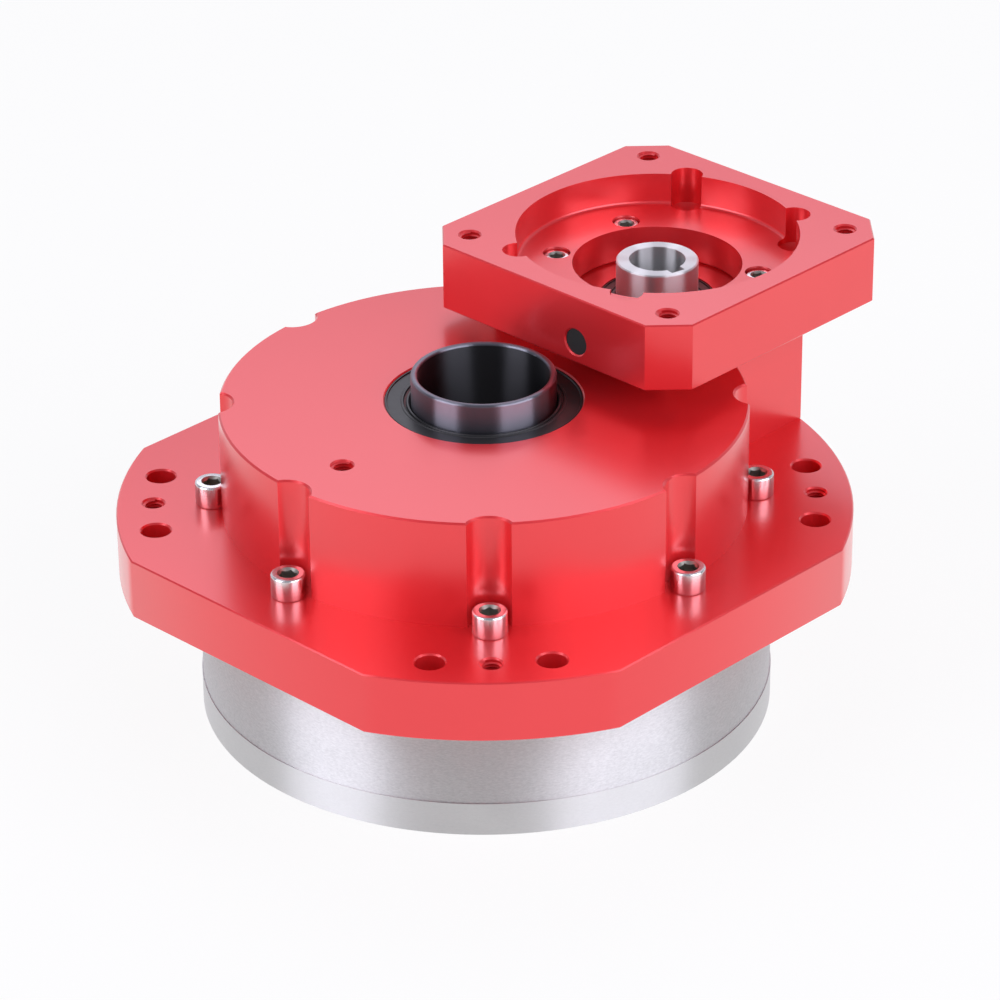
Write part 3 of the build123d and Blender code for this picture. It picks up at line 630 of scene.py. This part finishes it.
sealLook = {"sides": 128, "shoulder": 0.35 * mm, "dish": 1.0 * mm}
centreSealLook = {
    "centre": mainAxis,
    "inner": 27.55 * mm,
    "steps": (
        # width inwards and rise, in mm
        (0.35, 0.25), (0.5, 0.0), (0.25, -0.45), (5.0, 0.0), (0.3, 0.3), (0.7, 0.0), (0.3, -0.7),
        (0.7, -0.2), (0.3, 0.55), (0.6, 0.05), (0.5, -0.5),
    ),
}
inputSealLook = {
    "centre": inputAxis,
    "inner": 16.05 * mm,
    "steps": (
        (0.3, 0.2), (0.4, 0.0), (0.2, -0.4), (2.6, 0.0), (0.25, 0.3), (0.5, 0.0), (0.25, -0.5),
        (0.5, -0.1), (0.3, 0.4), (0.5, 0.0),
    ),
}
mainSealLook = {
    "centre": mainAxis,
    "inner": 80.05 * mm,
    "faces": "down",
    "steps": (
        (0.4, 0.3), (0.8, 0.0), (0.3, -0.5), (7.5, 0.0), (0.4, 0.5), (1.0, 0.0), (0.4, -1.0),
        (1.2, -0.3), (0.4, 0.8), (0.9, 0.0), (0.6, -0.5),
    ),
}


def addSeal(name, nodeName, look):
    # A disc is stepped inwards by insets, and its middle is opened into a bore
    low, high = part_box(nodeName)
    outer = (high[0] - low[0]) / 2
    height = high[2] - low[2] - sealLook["shoulder"]
    seal = roundBlock(name, sealLook["sides"], outer, low[2], height, look["centre"])
    selectFaces(seal, facesUp)
    reach = outer
    for width, rise in look["steps"]:
        bpy.ops.mesh.inset(thickness=width * mm, depth=rise * mm)
        reach -= width * mm
    bpy.ops.mesh.inset(thickness=reach - look["inner"], depth=-sealLook["dish"])
    bpy.ops.object.mode_set(mode="OBJECT")
    selectFaces(seal, facesDown)
    bpy.ops.mesh.inset(thickness=outer - look["inner"])
    bpy.ops.object.mode_set(mode="OBJECT")
    selectFaces(seal, lambda face: len(face.vertices) == sealLook["sides"])
    bpy.ops.mesh.delete(type="FACE")
    bpy.ops.mesh.select_mode(type="EDGE")
    bpy.ops.mesh.select_non_manifold()
    bpy.ops.mesh.bridge_edge_loops()
    bpy.ops.object.mode_set(mode="OBJECT")
    if look.get("faces") == "down":
        middle = Matrix.Translation((0, 0, (low[2] + high[2]) / 2))
        seal.data.transform(middle @ Matrix.Scale(-1, 4, (0, 0, 1)) @ middle.inverted())
    bpy.ops.object.mode_set(mode="EDIT")
    bpy.ops.mesh.select_all(action="SELECT")
    bpy.ops.mesh.normals_make_consistent(inside=False)
    bpy.ops.object.mode_set(mode="OBJECT")
    smooth(seal)
    dress(seal, nodeName, replaced=True)


addSeal("centreSeal", "centre_seal", centreSealLook)
addSeal("inputSeal", "input_seal", inputSealLook)
addSeal("mainSeal", "main_seal", mainSealLook)
print("seals modelled")

# Stage, lamps and camera

stageLook = {
    "floorSize": 30.0,
    "floorLevel": -0.2 * mm,
    "floorColour": grey(0.9),
    "floorRoughness": 0.9,
    "floorGlow": 0.88,
    "frontLevel": 0.33,
    "frontEdge": 0.1,  # cosine of the angle from the camera's direction
    "backLevel": 0.70,
    "backEdge": -0.5,
    "lampColour": (0.965, 0.955, 1.085),
    "lampAim": 70.0 * mm,
    "panels": (
        # degrees from the camera's azimuth, elevation, distance, width, height, watts
        (-60.0, 25.0, 1.9, 1.3, 1.6, 20.5),
        (52.0, 25.0, 1.9, 1.9, 1.6, 28.0),
        (180.0, 49.0, 1.3, 1.2, 1.0, 3.3),
    ),
}
cameraLook = {
    "azimuth": -45.959,
    "elevation": 28.050,
    "roll": -0.480,
    "focalPixels": 4578.263,
    "imagePixels": 1000.0,
    "sensor": 36.0,
    "side": 5.761 * mm,
    "lift": -0.940 * mm,
    "distance": 1742.511 * mm,
    "aimLevel": 82.0 * mm,
    "clip": (0.05, 60.0),
}


def direction(azimuth, elevation):
    # Points from the object to where the angles, in degrees, say
    azimuth, elevation = math.radians(azimuth), math.radians(elevation)
    return Vector((
        math.sin(azimuth) * math.cos(elevation),
        -math.cos(azimuth) * math.cos(elevation),
        math.sin(elevation),
    ))


cameraBack = direction(cameraLook["azimuth"], cameraLook["elevation"])


def addFloor():
    # The camera and mirrored views see the floor near white, and it keeps a faint shadow
    look = stageLook
    bpy.ops.mesh.primitive_plane_add(size=look["floorSize"], location=(0, 0, look["floorLevel"]))
    floor = bpy.context.active_object
    floor.name = "floor"
    finish = Finish("floorWhite")
    finish.set(Base_Color=look["floorColour"], Roughness=look["floorRoughness"], Specular_IOR_Level=0.0)
    seen = finish.add("ShaderNodeLightPath")
    mirrored = finish.add("ShaderNodeLightPath", output=3)
    glow = finish.add("ShaderNodeEmission", Color=grey(1.0), Strength=1.0)
    body = Wire(finish.tree, finish.shader.outputs[0])
    share = (seen + mirrored) * look["floorGlow"]
    whole = finish.add("ShaderNodeMixShader", _0=share, _1=body, _2=glow)
    plug(finish.tree, finish.tree.nodes["Material Output"].inputs[0], whole)
    floor.data.materials.append(finish.made)


def addWorld():
    # The studio is lighter behind the object than behind the camera
    look = stageLook
    finish = Finish("studio", world=True)
    bpy.context.scene.world = finish.made
    seen = finish.add("ShaderNodeLightPath")
    way = finish.add("ShaderNodeTexCoord", output=0)
    dot = {"operation": "DOT_PRODUCT"}
    facing = finish.add("ShaderNodeVectorMath", dot, output=1, _0=way, _1=tuple(cameraBack))
    edges = {"_1": look["frontEdge"], "_2": look["backEdge"]}
    levels = {"_3": look["frontLevel"], "_4": look["backLevel"]}
    around = finish.add("ShaderNodeMapRange", Value=facing, **edges, **levels)
    finish.set(Color=(*look["lampColour"], 1.0), Strength=seen + (1 - seen) * around)


def addCamera():
    look = cameraLook
    azimuth, roll = math.radians(look["azimuth"]), math.radians(look["roll"])
    right = Vector((math.cos(azimuth), math.sin(azimuth), 0.0))
    up = cameraBack.cross(right)
    turnedRight = math.cos(roll) * right + math.sin(roll) * up
    turnedUp = math.cos(roll) * up - math.sin(roll) * right
    place = turnedRight * look["side"] + turnedUp * look["lift"] + cameraBack * look["distance"]
    place.z += look["aimLevel"]
    data = bpy.data.cameras.new("camera")
    data.sensor_width = look["sensor"]
    data.lens = look["sensor"] * look["focalPixels"] / look["imagePixels"]
    data.clip_start, data.clip_end = look["clip"]
    camera = bpy.data.objects.new("camera", data)
    bpy.context.scene.collection.objects.link(camera)
    turn = Matrix((turnedRight, turnedUp, cameraBack)).transposed().to_4x4()
    camera.matrix_world = Matrix.Translation(place) @ turn
    bpy.context.scene.camera = camera


def addPanels():
    aim = Vector((0.0, 0.0, stageLook["lampAim"]))
    for number, (side, lift, reach, wide, tall, watts) in enumerate(stageLook["panels"]):
        back = direction(cameraLook["azimuth"] + side, lift)
        data = bpy.data.lights.new(f"panel{number}", "AREA")
        data.shape = "RECTANGLE"
        data.size, data.size_y = wide, tall
        data.energy = watts
        data.color = stageLook["lampColour"]
        panel = bpy.data.objects.new(f"panel{number}", data)
        bpy.context.scene.collection.objects.link(panel)
        panel.location = aim + back * reach
        panel.rotation_mode = "QUATERNION"
        panel.rotation_quaternion = back.to_track_quat("Z", "Y")


addFloor()
addCamera()
addWorld()
addPanels()
bpy.context.scene.view_settings.view_transform = "Standard"
print("stage ready")
